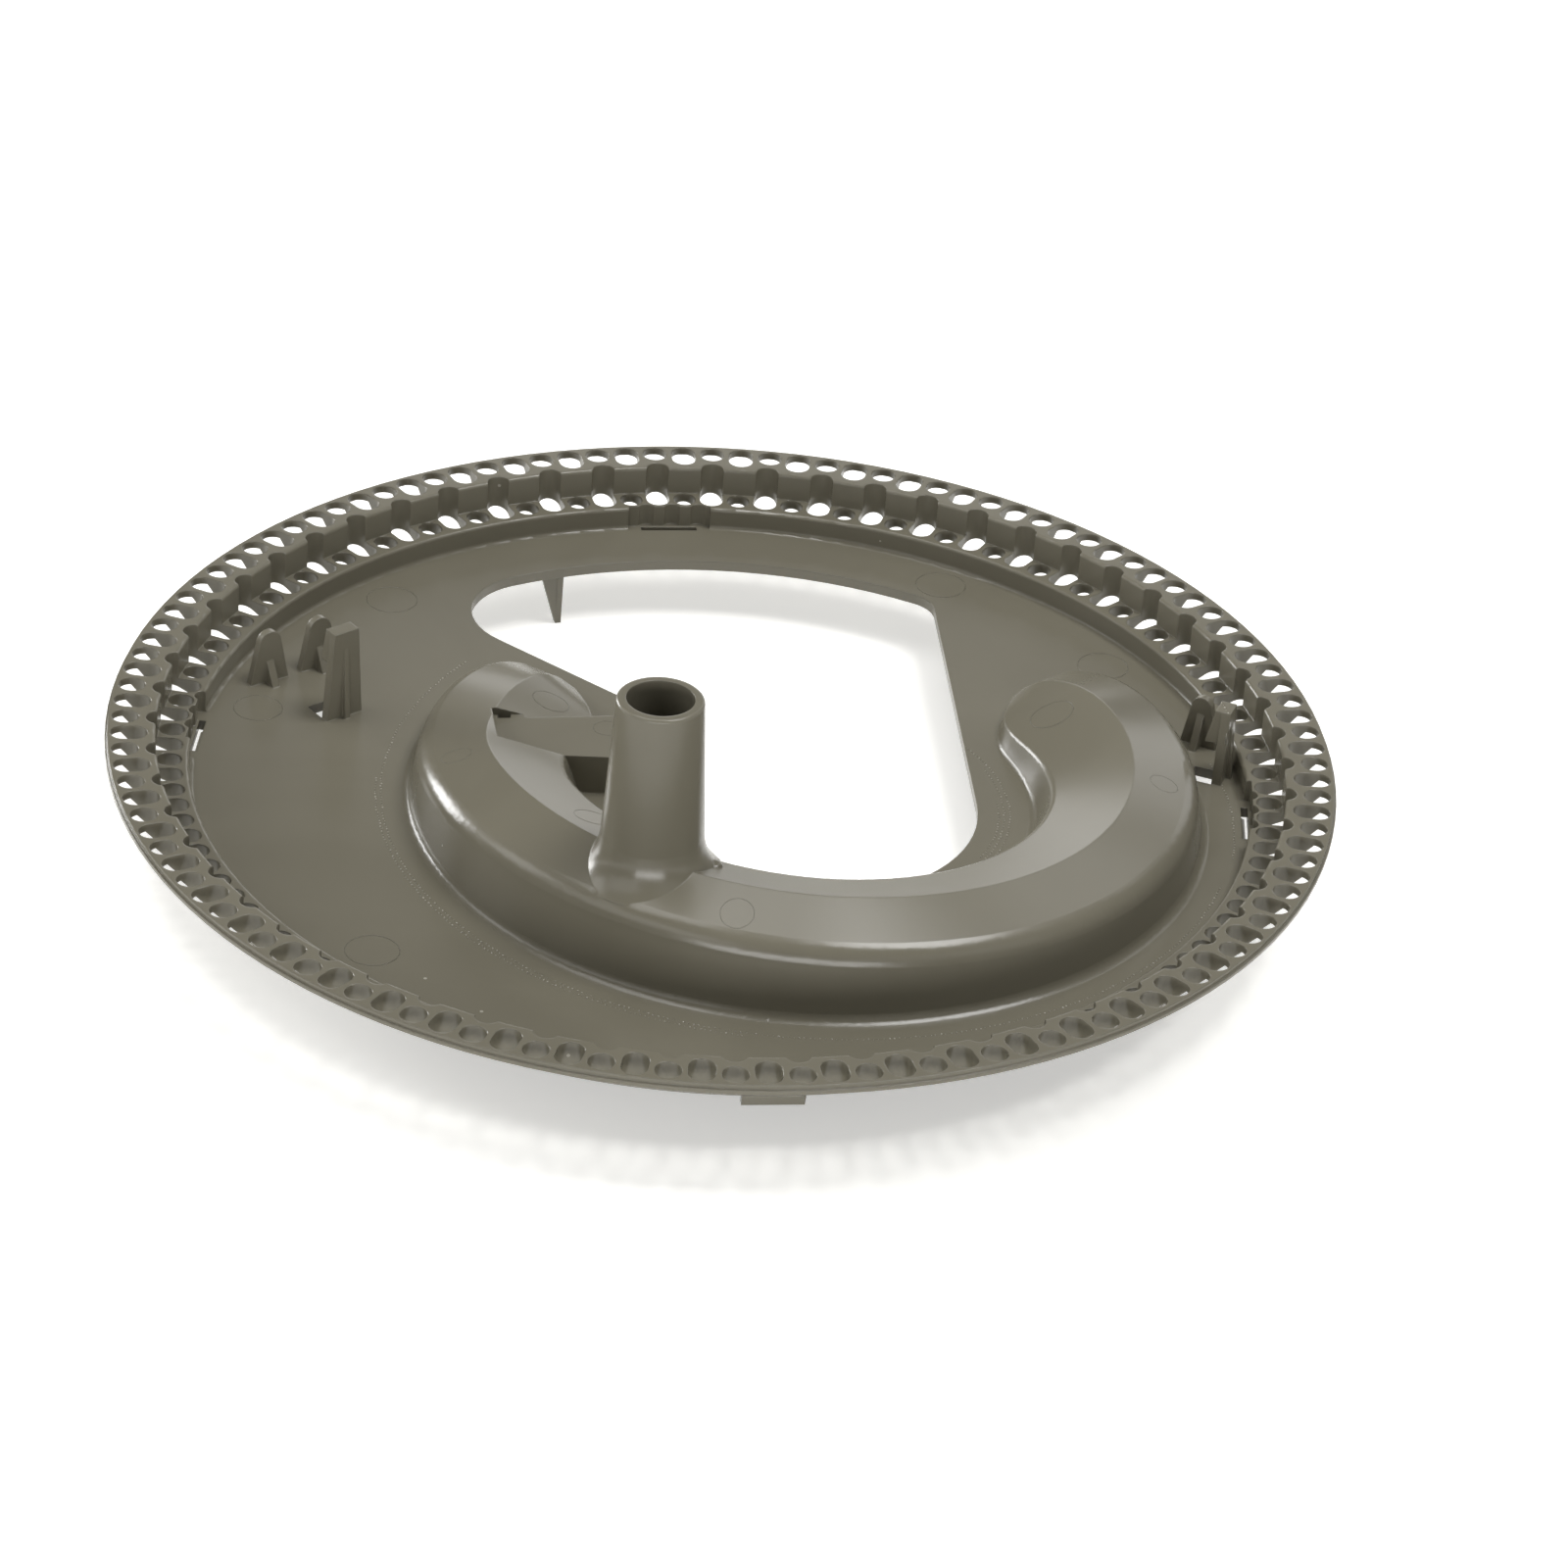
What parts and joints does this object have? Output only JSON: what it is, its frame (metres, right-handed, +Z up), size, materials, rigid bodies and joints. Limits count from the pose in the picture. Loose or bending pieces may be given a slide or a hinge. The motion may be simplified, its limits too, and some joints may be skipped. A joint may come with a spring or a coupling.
{
  "type": "dishwasher accumulator",
  "caption": "Shallow round plastic dish with a perforated stepped rim, a large opening in its floor, a raised curved water duct and an upright feed tube.",
  "frame": {"origin": "centre of the disc, on the plane the feet stand on", "axes": "+Z up along the disc axis and the feed tube, +Y towards the far edge of the floor opening, +X to the right seen from the tube side"},
  "size_m": [0.28, 0.28, 0.0766],
  "materials": {
    "grey_plastic": "satin"
  },
  "bodies": {
    "root": {"accumulator": "grey_plastic"}
  },
  "joints": []
}
